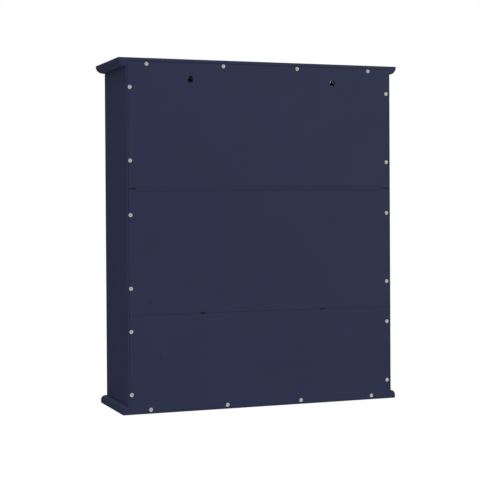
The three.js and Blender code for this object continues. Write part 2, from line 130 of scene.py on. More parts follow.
class CabinetSizes(PropertyGroup):
    """Small sizes that the frame leaves to the finished pieces."""

    arris: metres("Board arris", "Radius that the boards' edges are sanded to", 0.0009, min=0)
    sheet_arris: metres("Sheet arris", "Radius of the thin back sheets' edges", 0.00012, min=0)
    metal_arris: metres("Metal arris", "Radius of the stamped metal edges", 0.0002, min=0)
    top_lip: metres("Top lip", "Upright lip above the top board's quarter-round", 0.0015, min=0)
    base_round: metres("Base round", "Height of the rounded edge on the base board", 0.009, min=0)
    round_steps: IntProperty(
        name="Round steps",
        description="Steps in each quarter turn of a moulding",
        min=2,
        default=14,
    )
    stile_width: metres(
        "Stile and rail width", "Width of the door frames' stiles and rails", 0.048, min=0.01
    )
    groove_depth: metres("Groove depth", "Depth of the groove that holds the door's panel", 0.008, min=0)
    fit_gap: metres("Fitting gap", "Gap left between pieces that touch", 0.0003, min=0)
    top_seam: metres("Top seam", "Extra gap between the back and the top board's edge", 0.00025, min=0)
    hole_width: metres(
        "Hanging hole width", "Width of the oval holes in the back in front of the keyholes", 0.0096, min=0
    )
    hole_height: metres("Hanging hole height", "Height of the oval holes in the back", 0.0123, min=0)
    hole_drop: metres(
        "Hanging hole drop", "From the wall screws' height down to the middle of each oval hole", 0.00305
    )
    dent_radius: metres("Dent radius", "Radius of the two shallow dents in the back", 0.0024, min=0)
    recess_span: metres("Recess span", "Span of the cross recess in a back screw's head", 0.004, min=0)
    recess_arm: metres("Recess arm", "Width of each arm of the cross recess", 0.0009, min=0)


class CabinetStage(PropertyGroup):
    """Camera, lights and floor."""

    azimuth: degrees("Camera azimuth", "Direction of the camera round the cabinet, from its front", 159.5)
    elevation: degrees("Camera elevation", "Height of the camera's direction above the level", 0.75)
    roll: degrees("Camera roll", "Turn of the camera about its own axis", -0.33)
    distance: metres("Camera distance", "Distance from the camera to the point it aims at", 2.378)
    aim: FloatVectorProperty(
        name="Camera aim",
        description="Where the camera aims, from the middle of the cabinet",
        subtype="TRANSLATION",
        size=3,
        default=(0.0117, -0.0047, 0.0253),
    )
    lens: FloatProperty(
        name="Camera lens",
        description="Focal length in millimetres on a sensor 36 mm wide",
        min=10,
        default=95.4,
    )
    shift: FloatProperty(
        name="Camera shift",
        description="Upward shift of the lens, as a share of the picture's width",
        default=-0.0417,
    )
    floor_drop: metres("Floor drop", "Height of the hung cabinet above the floor", 1.2)
    fill: FloatProperty(
        name="Room light",
        description="Strength of the even light from all sides",
        min=0,
        default=0.6,
    )
    gleam: FloatProperty(
        name="Room reflection",
        description="Brightness of the room in glossy surfaces",
        min=0,
        default=0.04,
    )


# ---- Materials ----


def new_material(name):
    """A material with an empty node tree apart from its shader and output."""
    material = bpy.data.materials.new(name)
    material.use_nodes = True
    tree = material.node_tree
    shader = next(node for node in tree.nodes if node.type == "BSDF_PRINCIPLED")
    return material, tree, shader


def add_node(tree, kind, links=(), **values):
    """Adds a node, sets its properties and inputs by name, and links (source socket, input name) pairs."""
    node = tree.nodes.new(kind)
    for key, value in values.items():
        if key in node.inputs:
            node.inputs[key].default_value = value
        else:
            setattr(node, key, value)
    for source, target in links:
        tree.links.new(source, node.inputs[target])
    return node


def noise(tree, place, scale, detail, stretch=None):
    """Noise with a number of blotches per metre, drawn out along an axis by stretch."""
    if stretch:
        squeeze = add_node(tree, "ShaderNodeMapping", [(place, "Vector")])
        squeeze.inputs["Scale"].default_value = stretch
        place = squeeze.outputs["Vector"]
    values = {"Scale": scale, "Detail": detail}
    return add_node(tree, "ShaderNodeTexNoise", [(place, "Vector")], **values).outputs["Fac"]


def spread(tree, source, low, high):
    """Maps the middle of a noise onto low to high."""
    values = {"From Min": 0.3, "From Max": 0.7, "To Min": low, "To Max": high}
    return add_node(tree, "ShaderNodeMapRange", [(source, "Value")], **values).outputs["Result"]


def tint(tree, source, dark, light):
    """Two colours mixed by a value from 0 to 1."""
    ramp = add_node(tree, "ShaderNodeValToRGB", [(source, "Fac")])
    ramp.color_ramp.elements[0].color = (*dark, 1)
    ramp.color_ramp.elements[1].color = (*light, 1)
    return ramp.outputs["Color"]


def bump(tree, height, distance):
    """A bump of a real height in metres."""
    return add_node(tree, "ShaderNodeBump", [(height, "Height")], Distance=distance).outputs["Normal"]


def shaded(colour, factor):
    """A colour made darker or lighter."""
    return tuple(channel * factor for channel in colour)


def satin_paint(name, colour, roughness, stipple):
    """Sprayed satin paint: fine orange peel, faint mottling and patches that shine a little more or less."""
    material, tree, shader = new_material(name)
    place = add_node(tree, "ShaderNodeTexCoord").outputs["Object"]
    mottle = noise(tree, place, scale=9, detail=4)
    film = tint(tree, spread(tree, mottle, 0.2, 0.8), shaded(colour, 0.93), shaded(colour, 1.07))
    tree.links.new(film, shader.inputs["Base Color"])
    patches = noise(tree, place, scale=26, detail=3)
    patchiness = 0.035
    sheen = spread(tree, patches, roughness - patchiness, roughness + patchiness)
    tree.links.new(sheen, shader.inputs["Roughness"])
    peel = bump(tree, noise(tree, place, scale=620, detail=3), stipple)
    tree.links.new(peel, shader.inputs["Normal"])
    shader.inputs["Specular IOR Level"].default_value = 0.34
    return material


def plated_metal(name, colour, roughness, grain=None, metal=1.0):
    """Plated metal: a faint cloudiness, fine handling marks and, with a grain, brushing along an axis."""
    material, tree, shader = new_material(name)
    place = add_node(tree, "ShaderNodeTexCoord").outputs["Object"]
    cloud = noise(tree, place, scale=240, detail=3)
    tree.links.new(tint(tree, cloud, shaded(colour, 0.88), colour), shader.inputs["Base Color"])
    marks = noise(tree, place, scale=900, detail=4, stretch=grain)
    tree.links.new(spread(tree, marks, roughness * 0.8, roughness * 1.25), shader.inputs["Roughness"])
    tree.links.new(bump(tree, marks, distance=0.000008), shader.inputs["Normal"])
    shader.inputs["Metallic"].default_value = metal
    return material


def zinc_plate(name, colour):
    """Bright zinc: crystalline spangle with a dulled surface, in a colour kept darker than bare bright zinc
    as painted shade for the recessed keyhole plates.
    """
    material, tree, shader = new_material(name)
    place = add_node(tree, "ShaderNodeTexCoord").outputs["Object"]
    cells = add_node(tree, "ShaderNodeTexVoronoi", [(place, "Vector")], Scale=420)
    tone = add_node(tree, "ShaderNodeSeparateColor", [(cells.outputs["Color"], "Color")]).outputs["Red"]
    tree.links.new(tint(tree, tone, shaded(colour, 0.8), colour), shader.inputs["Base Color"])
    dull = add_node(tree, "ShaderNodeMapRange", [(tone, "Value")], **{"To Min": 0.16, "To Max": 0.26})
    tree.links.new(dull.outputs["Result"], shader.inputs["Roughness"])
    shader.inputs["Metallic"].default_value = 1.0
    return material


def moulded_plastic(name, colour, roughness):
    """Moulded or extruded plastic: faint flow streaks and a fine matt texture."""
    material, tree, shader = new_material(name)
    place = add_node(tree, "ShaderNodeTexCoord").outputs["Object"]
    flow = noise(tree, place, scale=60, detail=3, stretch=(0.1, 1, 1))
    tree.links.new(tint(tree, flow, shaded(colour, 0.94), shaded(colour, 1.05)), shader.inputs["Base Color"])
    streakiness = 0.04
    sheen = spread(tree, flow, roughness - streakiness, roughness + streakiness)
    tree.links.new(sheen, shader.inputs["Roughness"])
    matt = bump(tree, noise(tree, place, scale=1500, detail=2), distance=0.00001)
    tree.links.new(matt, shader.inputs["Normal"])
    shader.inputs["Specular IOR Level"].default_value = 0.28
    return material


def finish(name):
    """The material of that name, made the first time it is asked for."""
    if name in bpy.data.materials:
        return bpy.data.materials[name]
    values = bpy.context.scene.cabinet_finishes
    navy = tuple(values.navy)
    nickel = tuple(values.nickel)
    rough = values.paint_gloss_spread
    makers = {
        "navy_board_paint": lambda: satin_paint(name, navy, rough, values.stipple),
        "navy_door_paint": lambda: satin_paint(name, navy, rough - 0.04, values.stipple * 0.8),
        "navy_sheet_paint": lambda: satin_paint(name, navy, rough + 0.02, values.stipple * 1.4),
        "bright_nickel": lambda: plated_metal(name, nickel, roughness=0.36, metal=0.6),
        "satin_nickel": lambda: plated_metal(name, shaded(nickel, 0.8), roughness=0.34, grain=(1, 1, 12)),
        "zinc": lambda: zinc_plate(name, tuple(values.zinc)),
        "dark_wire": lambda: plated_metal(name, (0.07, 0.075, 0.1), roughness=0.45),
        "navy_plastic": lambda: moulded_plastic(name, shaded(navy, 0.95), roughness=0.6),
        "white_plastic": lambda: moulded_plastic(name, (0.7, 0.7, 0.67), roughness=0.42),
        "magnet_steel": lambda: plated_metal(name, (0.32, 0.32, 0.34), roughness=0.45),
    }
    return makers[name]()


# ---- Mesh tools ----


def object_of(name, bm):
    """An object of the finished bmesh, shaded smooth."""
    bmesh.ops.recalc_face_normals(bm, faces=bm.faces)
    mesh = bpy.data.meshes.new(name)
    bm.to_mesh(mesh)
    bm.free()
    mesh.polygons.foreach_set("use_smooth", [True] * len(mesh.polygons))
    piece = bpy.data.objects.new(name, mesh)
    bpy.context.scene.collection.objects.link(piece)
    return piece


def slab(name, low, high):
    """A rectangular board between two corners."""
    low, high = Vector(low), Vector(high)
    size = high - low
    bm = bmesh.new()
    bmesh.ops.create_cube(bm, size=1, matrix=Matrix.LocRotScale((low + high) / 2, None, size))
    return object_of(name, bm)


def prism(name, outline, start, end, axis):
    """A straight piece of one section. The outline's pairs are the two other axes in X, Y, Z order."""
    corner = {
        "X": lambda u, v, w: (w, u, v),
        "Y": lambda u, v, w: (u, w, v),
        "Z": lambda u, v, w: (u, v, w),
    }[axis]
    bm = bmesh.new()
    first = [bm.verts.new(corner(u, v, start)) for u, v in outline]
    last = [bm.verts.new(corner(u, v, end)) for u, v in outline]
    bm.faces.new(first)
    bm.faces.new(last)
    count = len(outline)
    for i in range(count):
        j = (i + 1) % count
        bm.faces.new((first[i], first[j], last[j], last[i]))
    return object_of(name, bm)


def turned(name, outline, segments):
    """A turned piece about +Z. The outline's (radius, height) pairs run from pole to pole."""
    pole_radius = 1e-9
    bm = bmesh.new()
    rings = []
    for radius, height in outline:
        if radius < pole_radius:
            rings.append([bm.verts.new((0, 0, height))] * segments)
            continue
        turns = [2 * math.pi * i / segments for i in range(segments)]
        rings.append([bm.verts.new((radius * math.cos(t), radius * math.sin(t), height)) for t in turns])
    for lower, upper in zip(rings, rings[1:]):
        for i in range(segments):
            j = (i + 1) % segments
            corners = list(dict.fromkeys((lower[i], lower[j], upper[j], upper[i])))
            if len(corners) > 2:
                bm.faces.new(corners)
    return object_of(name, bm)


def rounded_outline(across, tall, corner, steps, centre):
    """The points of a rectangle with round corners."""
    u, v = across / 2 - corner, tall / 2 - corner
    points = []
    for quarter, (x, y) in enumerate(((u, v), (-u, v), (-u, -v), (u, -v))):
        for i in range(steps + 1):
            turn = (quarter + i / steps) * math.pi / 2
            points.append((centre[0] + x + corner * math.cos(turn), centre[1] + y + corner * math.sin(turn)))
    return points


def baked(piece):
    """Applies a piece's modifiers to its mesh."""
    bpy.context.view_layer.update()
    graph = bpy.context.evaluated_depsgraph_get()
    mesh = bpy.data.meshes.new_from_object(piece.evaluated_get(graph))
    piece.modifiers.clear()
    piece.data = mesh


def shaped(piece, tools, operation="DIFFERENCE"):
    """Cuts a piece by each tool, or joins them to it, and removes the tools."""
    for tool in tools:
        step = piece.modifiers.new("shape", "BOOLEAN")
        step.operation = operation
        step.solver = "EXACT"
        step.object = tool
    baked(piece)
    for tool in tools:
        bpy.data.objects.remove(tool)
    piece.data.polygons.foreach_set("use_smooth", [True] * len(piece.data.polygons))
    return piece


def eased(piece, radius, segments=2, angle=35):
    """Rounds a piece's sharp edges and keeps its flat faces flat."""
    edge = piece.modifiers.new("eased edges", "BEVEL")
    edge.width = radius
    edge.segments = segments
    edge.limit_method = "ANGLE"
    edge.angle_limit = math.radians(angle)
    piece.modifiers.new("even normals", "WEIGHTED_NORMAL").keep_sharp = True
    return piece


def node_copy(name, node):
    """A copy of a frame node with its flat faces joined up."""
    bm = bmesh.new()
    bm.from_mesh(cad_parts[node].data)
    bmesh.ops.remove_doubles(bm, verts=bm.verts, dist=1e-6)
    bmesh.ops.dissolve_limit(bm, angle_limit=math.radians(0.5), verts=bm.verts, edges=bm.edges)
    return object_of(name, bm)


def fit(piece, body, slot, material, *nodes):
    """Gives a piece its material, fixes it to its body and lets it stand for its frame nodes."""
    piece.data.materials.clear()
    piece.data.materials.append(finish(material))
    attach(piece, body)
    if nodes:
        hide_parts(*nodes)


def quarter_turn(steps):
    """The angles of a quarter turn, from level to upright."""
    return [i / steps * math.pi / 2 for i in range(steps + 1)]


# ---- Screws ----


def cross_cutter(span, arm, depth, top):
    """The two crossed wedges that press a recess into a screw's head."""
    taper = 0.55
    wedges = []
    for across, along in ((span, arm), (arm, span)):
        bm = bmesh.new()
        bmesh.ops.create_cube(bm, size=1, matrix=Matrix.Diagonal((across, along, 2 * depth, 1)))
        for vert in bm.verts:
            if vert.co.z < 0:
                vert.co.x *= taper
                vert.co.y *= taper
        bmesh.ops.translate(bm, verts=bm.verts, vec=(0, 0, top))
        wedges.append(object_of("cross_wedge", bm))
    return wedges


def screw_mesh(name, head_radius, head_height, span, arm, depth, shank_radius, length, sunk=False):
    """A cross-head screw about +Z whose head rests on z = 0. A sunk head has its flat top at z = 0."""
    if sunk:
        rim = 0.12 * head_height
        head = [(shank_radius, -head_height), (head_radius, -rim), (head_radius, 0), (0, 0)]
        top = 0
    else:
        lip, shoulder, underside = 0.1 * head_height, 0.35 * head_height, 0.97 * head_radius
        rise = [
            (head_radius * math.cos(a), shoulder + (head_height - shoulder) * math.sin(a))
            for a in quarter_turn(10)[:-1]
        ]
        seat = [(shank_radius, 0), (underside, 0), (head_radius, lip)]
        head = [*seat, *rise, (0, head_height)]
        top = head_height
    point = 2.5 * shank_radius
    outline = [(0, -length), (shank_radius, point - length), *head]
    piece = turned(name, outline, segments=40)
    shaped(piece, cross_cutter(span, arm, depth, top))
    head_arris = 0.00012
    baked(eased(piece, head_arris, angle=30))
    mesh = piece.data
    bpy.data.objects.remove(piece)
    return mesh


def drive(mesh, name, place, direction, turn, body, slot, material, *nodes):
    """Puts a copy of a screw's mesh at a place, with its head facing a direction."""
    piece = bpy.data.objects.new(name, mesh.copy())
    bpy.context.scene.collection.objects.link(piece)
    facing = Vector(direction).to_track_quat("Z", "Y") @ Quaternion((0, 0, 1), turn)
    piece.data.transform(Matrix.LocRotScale(Vector(place), facing, None))
    fit(piece, body, slot, material, *nodes)


# ---- Carcass ----


def moulded_board(name, node, profile, edge, front):
    """A board with one profile along its front and side edges, mitred at the corners.

    The profile's (outward, upward) pairs run from the underside to the top, measured from the carcass: edge
    is the outer face of its sides and front its front face.
    """
    low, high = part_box(node)
    bm = bmesh.new()
    loops = []
    for out, up in profile:
        x, y, z = edge + out, front - out, low.z + up
        corners = ((-x, high.y, z), (-x, y, z), (x, y, z), (x, high.y, z))
        loops.append([bm.verts.new(corner) for corner in corners])
    bm.faces.new(loops[0])
    bm.faces.new(loops[-1])
    for lower, upper in zip(loops, loops[1:]):
        for i in range(4):
            j = (i + 1) % 4
            bm.faces.new((lower[i], lower[j], upper[j], upper[i]))
    return object_of(name, bm)


def rebate_tool(sizes):
    """The opening in the boards' backs that the back sheets lie in."""
    bottom_low, sheet_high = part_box("back_panel_bottom")
    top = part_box("back_panel_top")[1].z
    gap = sizes.fit_gap
    low = (-sheet_high.x - gap, bottom_low.y - gap, bottom_low.z - gap)
    return slab("rebate", low, (sheet_high.x + gap, sheet_high.y + gap, top + gap))


class CABINET_OT_add_carcass(Operator):
    """Adds the moulded top and base, the side panels and the fixed shelf"""

    bl_idname = "cabinet.add_carcass"
    bl_label = "Carcass"

    def execute(self, context):
        sizes = context.scene.cabinet_sizes
        side_low, side_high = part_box("side_panel_right")
        edge, front = side_high.x, side_low.y
        turns = quarter_turn(sizes.round_steps)

        low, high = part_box("top_board")
        reach, thick = high.x - edge, high.z - low.z
        drop = thick - sizes.top_lip
        cove = [(reach * math.sin(a), drop * (1 - math.cos(a))) for a in turns]
        top = moulded_board("finished_top_board", "top_board", [*cove, (reach, thick)], edge, front)

        low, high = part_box("base_board")
        reach, thick = high.x - edge, high.z - low.z
        upright = thick - sizes.base_round
        cove = [(reach * math.cos(a), upright + sizes.base_round * math.sin(a)) for a in turns]
        base = moulded_board("finished_base_board", "base_board", [(reach, 0), *cove], edge, front)

        for piece, node in ((top, "top_board"), (base, "base_board")):
            shaped(piece, [rebate_tool(sizes)])
            fit(eased(piece, sizes.arris * MOULDING_SHARE), *PAINTED_BOARD, node)
        for label, side in SIDES:
            self.add_side(label, side, sizes)
        shelf = slab("finished_fixed_shelf", *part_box("fixed_shelf"))
        fit(eased(shelf, sizes.arris), *PAINTED_BOARD, "fixed_shelf")
        return {"FINISHED"}

    def add_side(self, label, side, sizes):
        """A side panel with its rebate and its shelf pin holes."""
        node = f"side_panel_{label}"
        low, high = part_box(node)
        panel = slab(f"finished_{node}", low, high)
        inner = high.x if side < 0 else low.x
        hole_radius, hole_depth, pitch, past = 0.0027, 0.0083, 0.032, 0.001
        outline = [(0, -hole_depth), (hole_radius, -hole_depth), (hole_radius, past), (0, past)]
        tools = [rebate_tool(sizes)]
        for place in ("back", "front"):
            pin_low, pin_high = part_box(f"shelf_pin_{label}_{place}")
            middle = (pin_low + pin_high) / 2
            for row in (-1, 0, 1):
                tool = turned("pin_hole", outline, segments=24)
                turn = Matrix.Rotation(-side * math.pi / 2, 4, "Y")
                tool.data.transform(Matrix.Translation((inner, middle.y, middle.z + row * pitch)) @ turn)
                tools.append(tool)
        shaped(panel, tools)
        fit(eased(panel, sizes.arris * SIDE_SHARE), *PAINTED_BOARD, node)


# ---- Back ----


class CABINET_OT_add_back(Operator):
    """Adds the three back sheets, their joint strip and the two staples"""

    bl_idname = "cabinet.add_back"
    bl_label = "Back sheets"

    def execute(self, context):
        sizes = context.scene.cabinet_sizes
        for part in ("bottom", "middle", "top"):
            self.add_sheet(f"back_panel_{part}", sizes)
        self.add_strip()
        for label, _side in SIDES:
            self.add_staple(f"shelf_staple_{label}")
        return {"FINISHED"}

    def add_sheet(self, node, sizes):
        """One thin sheet of the back with the holes that fall in it."""
        low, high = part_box(node)
        if node == "back_panel_top":
            high.z -= sizes.top_seam
        sheet = slab(f"finished_{node}", low, high)
        tools = [tool for tool in self.hole_tools() if self.crosses(tool, low, high)]
        shaped(sheet, tools)
        fit(eased(sheet, sizes.sheet_arris), "carcass", "painted_hardboard", "navy_sheet_paint", node)

    def crosses(self, tool, low, high):
        """Whether a tool reaches the sheet between two heights. One that doesn't is removed."""
        heights = [vert.co.z for vert in tool.data.vertices]
        if min(heights) < high.z and max(heights) > low.z:
            return True
        bpy.data.objects.remove(tool)
        return False

    def hole_tools(self):
        """Tools for the two oval hanging holes, the staples' slots and the two dents."""
        sizes = bpy.context.scene.cabinet_sizes
        sheet_low, sheet_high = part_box("back_panel_middle")
        past = 0.001
        start, end = sheet_low.y - past, sheet_high.y + past
        across, tall = sizes.hole_width, sizes.hole_height
        tools = []
        for label, _side in SIDES:
            low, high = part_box(f"keyhole_plate_{label}")
            centre = ((low.x + high.x) / 2, -sizes.hole_drop)
            hole = rounded_outline(across, tall, corner=across * 0.499, steps=14, centre=centre)
            tools.append(prism("hanging_hole", hole, start, end, "Y"))
            low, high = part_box(f"shelf_staple_{label}")
            middle, grown = (low + high) / 2, high - low + 2 * Vector((sizes.fit_gap,) * 3)
            centre = (middle.x, middle.z)
            slot = rounded_outline(grown.x, grown.z, corner=grown.z * 0.45, steps=5, centre=centre)
            tools.append(prism("staple_slot", slot, start, end, "Y"))
        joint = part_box("back_panel_bottom")[1].z
        for inset, rise in DENTS:
            tools.append(self.dent_tool(sheet_high.x - inset, sheet_high.y, joint + rise, sizes.dent_radius))
        return tools

    def dent_tool(self, x, y, z, radius):
        """A tool that presses a steep-sided bowl into the outer face."""
        depth, steepness = 0.4 * radius, 0.5
        bowl = [
            (radius * math.sin(a) ** steepness, -depth * math.cos(a) ** steepness)
            for a in quarter_turn(8)[:-1]
        ]
        bowl.append((radius, 0))
        tool = turned("dent", [*bowl, (radius, depth), (0, depth)], segments=32)
        tool.data.transform(Matrix.Translation((x, y, z)) @ Matrix.Rotation(-math.pi / 2, 4, "X"))
        return tool

    def add_strip(self):
        """The extruded strip between two sheets: a web and two flanges, the outer one barely crowned."""
        low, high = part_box("back_joint_strip")
        middle = (low.z + high.z) / 2
        half, web, flange, crown, steps = (high.z - low.z) / 2, 0.0006, 0.0006, 0.00012, 6
        outer = high.y - flange
        rise = [half * (2 * i / steps - 1) for i in range(steps + 1)]
        face = [(high.y - crown * (v / half) ** 2, middle + v) for v in rise]
        outline = [
            (low.y, middle - half),
            (low.y + flange, middle - half),
            (low.y + flange, middle - web),
            (outer, middle - web),
            (outer, middle - half),
            *face,
            (outer, middle + half),
            (outer, middle + web),
            (low.y + flange, middle + web),
            (low.y + flange, middle + half),
            (low.y, middle + half),
        ]
        strip = prism("finished_joint_strip", outline, low.x, high.x, "X")
        fit(eased(strip, FINE_ARRIS), "carcass", "strip_plastic", "navy_plastic", "back_joint_strip")

    def add_staple(self, node):
        """A staple of round-edged wire."""
        wire_round = 0.00025
        staple = node_copy(f"finished_{node}", node)
        fit(eased(staple, wire_round, segments=3), "carcass", "staple_steel", "dark_wire", node)


class CABINET_OT_add_back_screws(Operator):
    """Adds the twenty pan-head screws of the back, each turned its own way"""

    bl_idname = "cabinet.add_back_screws"
    bl_label = "Back screws"

    def execute(self, context):
        sizes = context.scene.cabinet_sizes
        nodes = sorted(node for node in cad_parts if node.startswith("back_screw_"))
        low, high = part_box(nodes[0])
        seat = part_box("back_panel_middle")[1].y + sizes.fit_gap
        mesh = screw_mesh(
            "pan_head", head_radius=(high.x - low.x) / 2, head_height=high.y - seat, span=sizes.recess_span,
            arm=sizes.recess_arm, depth=0.0011, shank_radius=0.0014, length=seat - low.y,
        )
        draw = random.Random(7)
        finished = ("carcass", "screw_nickel", "bright_nickel")
        for node in nodes:
            low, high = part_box(node)
            place = ((low.x + high.x) / 2, seat, (low.z + high.z) / 2)
            turn = draw.uniform(0, math.pi / 2)
            drive(mesh, f"finished_{node}", place, (0, 1, 0), turn, *finished, node)
        return {"FINISHED"}


class CABINET_OT_add_hanger(Operator):
    """Adds the hanging rail and the two keyhole plates with their screws"""

    bl_idname = "cabinet.add_hanger"
    bl_label = "Hanging rail"

    def execute(self, context):
        sizes = context.scene.cabinet_sizes
        rail = node_copy("finished_hanging_rail", "hanging_rail")
        fit(eased(rail, sizes.sheet_arris), *PAINTED_BOARD, "hanging_rail")
        screw = screw_mesh(
            "plate_screw", head_radius=0.0026, head_height=0.0014, span=0.0026, arm=0.0006, depth=0.0007,
            shank_radius=0.0011, length=0.011, sunk=True,
        )
        inset, proud, turn = 0.0045, 0.00015, 0.4
        for label, _side in SIDES:
            node = f"keyhole_plate_{label}"
            low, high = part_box(node)
            plate = node_copy(f"finished_{node}", node)
            fit(eased(plate, sizes.metal_arris), "carcass", "plate_zinc", "zinc", node)
            middle = (low.x + high.x) / 2
            for end, z in (("lower", low.z + inset), ("upper", high.z - inset)):
                name = f"keyhole_screw_{label}_{end}"
                place = (middle, high.y + proud, z)
                drive(screw, name, place, (0, 1, 0), turn, "carcass", "plate_zinc", "zinc")
        return {"FINISHED"}


# ---- Shelf ----


class CABINET_OT_add_loose_shelf(Operator):
    """Adds the loose shelf and the four pins it rests on"""

    bl_idname = "cabinet.add_loose_shelf"
    bl_label = "Loose shelf"

    def execute(self, context):
        sizes = context.scene.cabinet_sizes
        shelf = slab("finished_loose_shelf", *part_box("loose_shelf"))
        fit(eased(shelf, sizes.arris), *PAINTED_BOARD, "loose_shelf")
        for label, side in SIDES:
            for place in ("back", "front"):
                self.add_pin(label, side, place, sizes)
        return {"FINISHED"}

    def add_pin(self, label, side, place, sizes):
        """A shelf pin: a shank in the side's hole, a thin collar and a round-nosed peg."""
        node = f"shelf_pin_{label}_{place}"
        low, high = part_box(node)
        panel_low, panel_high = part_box(f"side_panel_{label}")
        wall = panel_high.x if side < 0 else panel_low.x
        depth = wall - low.x if side < 0 else high.x - wall
        reach = high.x - wall if side < 0 else wall - low.x
        collar, radius = (high.z - low.z) / 2, 0.0025
        tip, chamfer, thickness, bluntness = 0.85 * radius, 0.0006, 0.0012, 0.6
        nose = [
            (radius * math.cos(a), reach - radius * (1 - math.sin(a)) * bluntness)
            for a in quarter_turn(6)
        ]
        outline = [
            (0, -depth),
            (tip, -depth),
            (radius, -depth + chamfer),
            (radius, sizes.fit_gap),
            (collar, sizes.fit_gap),
            (collar, sizes.fit_gap + thickness),
            (radius, sizes.fit_gap + thickness),
            *nose,
        ]
        outline[-1] = (0, reach)
        pin = turned(f"finished_{node}", outline, segments=32)
        turn = Matrix.Rotation(-side * math.pi / 2, 4, "Y")
        middle = (low + high) / 2
        pin.data.transform(Matrix.Translation((wall, middle.y, middle.z)) @ turn)
        fit(eased(pin, FINE_ARRIS), "carcass", "pin_nickel", "bright_nickel", node)


# ---- Doors ----


class CABINET_OT_add_doors(Operator):
    """Adds each door's two stiles, two rails and panel"""

    bl_idname = "cabinet.add_doors"
    bl_label = "Doors"

    def execute(self, context):
        sizes = context.scene.cabinet_sizes
        for label, _side in SIDES:
            self.add_door(label, sizes)
        return {"FINISHED"}

    def add_door(self, label, sizes):
        """One door: stiles the full height, rails tenoned between them and a panel in their grooves."""
        body = f"door_{label}"
        node = f"door_frame_{label}"
        low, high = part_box(node)
        panel_low, panel_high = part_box(f"door_panel_{label}")
        wide, depth = sizes.stile_width, sizes.groove_depth + sizes.fit_gap
        back, front = panel_high.y + sizes.fit_gap, panel_low.y - sizes.fit_gap

        def grooved(outer, inner, groove):
            """A member's section, with the groove in its inner edge. Pairs are (across, Y)."""
            return [
                (outer, low.y), (inner, low.y), (inner, front), (groove, front),
                (groove, back), (inner, back), (inner, high.y), (outer, high.y),
            ]

        members = []
        for place, outer, inward in (("left", low.x, 1), ("right", high.x, -1)):
            inner = outer + inward * wide
            section = grooved(outer, inner, inner - inward * depth)
            members.append(prism(f"{body}_{place}_stile", section, low.z, high.z, "Z"))
        for place, outer, inward in (("bottom", low.z, 1), ("top", high.z, -1)):
            inner = outer + inward * wide
            section = [(y, z) for z, y in grooved(outer, inner, inner - inward * depth)]
            rail = prism(f"{body}_{place}_rail", section, low.x + wide, high.x - wide, "X")
            shoulders, cheeks = (low.x + wide, high.x - wide), (panel_low.y, panel_high.y)
            ends = self.tenons(shoulders, cheeks, sorted((outer, inner - inward * depth)), sizes)
            members.append(shaped(rail, ends, "UNION"))
        for member in members:
            fit(eased(member, sizes.arris * DOOR_SHARE), body, "painted_door", "navy_door_paint", node)
        panel = slab(f"{body}_panel", panel_low, panel_high)
        fit(eased(panel, sizes.sheet_arris), body, "painted_door", "navy_door_paint", f"door_panel_{label}")

    def tenons(self, shoulders, cheeks, heights, sizes):
        """The stub tenons at a rail's two ends, which fill the stiles' grooves."""
        depth, overlap = sizes.groove_depth, 0.001
        left, right = shoulders
        ends = []
        for start, end in ((left - depth, left + overlap), (right - overlap, right + depth)):
            ends.append(slab("tenon", (start, cheeks[0], heights[0]), (end, cheeks[1], heights[1])))
        return ends


class CABINET_OT_add_knobs(Operator):
    """Adds the two turned knobs and the screws that hold them from behind"""

    bl_idname = "cabinet.add_knobs"
    bl_label = "Knobs"

    def execute(self, context):
        sizes = context.scene.cabinet_sizes
        screw = screw_mesh(
            "knob_screw", head_radius=0.0038, head_height=0.0021, span=0.004, arm=0.0009, depth=0.0012,
            shank_radius=0.0019, length=0.012,
        )
        clear, screw_turn = 0.0001, 0.7
        for label, _side in SIDES:
            node = f"knob_{label}"
            low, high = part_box(node)
            middle = (low + high) / 2
            knob = self.turned_knob(f"finished_{node}", (high.x - low.x) / 2, high.y - low.y)
            turn = Matrix.Rotation(math.pi / 2, 4, "X")
            knob.data.transform(Matrix.Translation((middle.x, high.y, middle.z)) @ turn)
            fit(eased(knob, sizes.metal_arris), f"door_{label}", "knob_nickel", "satin_nickel", node)
            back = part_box(f"door_frame_{label}")[1].y
            place = (middle.x, back + clear, middle.z)
            finished = (f"door_{label}", "knob_nickel", "bright_nickel")
            drive(screw, f"knob_screw_{label}", place, (0, 1, 0), screw_turn, *finished)
        return {"FINISHED"}

    def turned_knob(self, name, radius, reach):
        """A mushroom knob about +Z: a stepped base, a waisted neck and a domed head."""
        head = 0.42 * reach
        start = reach - head
        underside, dome = 0.35 * head, 0.65 * head
        rim = start + underside
        base, neck, plate, foot_height, bevel = 0.008, 0.005, 0.0012, 0.0018, 0.0006
        foot = [(0, 0), (base, 0), (base, plate), (base - bevel, foot_height)]
        steps, flare_inset, waist_depth, fullness = 13, 0.0012, 0.0019, 0.8
        waist = []
        for i in range(1, steps):
            t = i / steps
            curve = math.sin(math.pi * t) ** fullness
            flare = (base - flare_inset) * (1 - t) + (neck + flare_inset) * t
            waist.append((flare - curve * waist_depth, foot_height + t * (start - foot_height)))
        under_turn, under_steps = 0.95, 6
        turns = [-under_turn + under_turn * i / under_steps for i in range(under_steps)]
        under = [(radius * math.cos(a), rim + underside * math.sin(a)) for a in turns]
        crown = [(radius * math.cos(a), rim + dome * math.sin(a)) for a in quarter_turn(14)[:-1]]
        return turned(name, [*foot, *waist, *under, *crown, (0, reach)], segments=64)


# ---- Hinges ----


